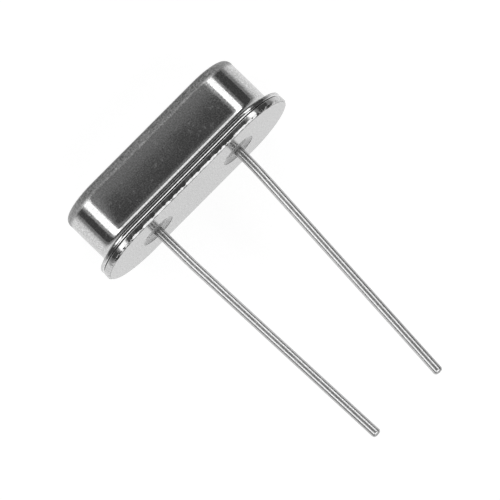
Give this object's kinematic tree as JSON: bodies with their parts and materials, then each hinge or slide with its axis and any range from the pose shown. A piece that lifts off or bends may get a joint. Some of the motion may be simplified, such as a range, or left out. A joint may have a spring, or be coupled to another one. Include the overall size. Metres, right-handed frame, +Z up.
{
  "type": "crystal oscillator",
  "caption": "Low oblong metal can with full-round ends on a flanged base, with slightly bent wire leads through glass seals, lying on its side.",
  "frame": {"origin": "middle of the base's underside, the face that seats on a board, midway between the two leads", "axes": "+X along the can's length, +Z up from the surface the loose part lies on, -Y to the side the leads reach to; the part lies tipped about 11 degrees on its flange edge and can top edge"},
  "size_m": [0.0108, 0.0162, 0.0051],
  "materials": {
    "can_metal": "satin, bright nickel",
    "base_metal": "bright nickel plate",
    "seal_glass": "dark fused glass",
    "lead_metal": "bright tinned wire",
    "clip_metal": "satin",
    "quartz": "fine-lapped, clear",
    "electrode_silver": "evaporated silver film",
    "conductive_adhesive": "silver-filled, matt"
  },
  "bodies": {
    "root": {"can": "can_metal", "base": "base_metal", "glass_seal_left": "seal_glass", "glass_seal_right": "seal_glass", "lead_left": "lead_metal", "lead_right": "lead_metal", "clip_left": "clip_metal", "clip_right": "clip_metal", "quartz_blank": "quartz", "electrode_upper": "electrode_silver", "electrode_lower": "electrode_silver", "adhesive_left": "conductive_adhesive", "adhesive_right": "conductive_adhesive"}
  },
  "joints": []
}
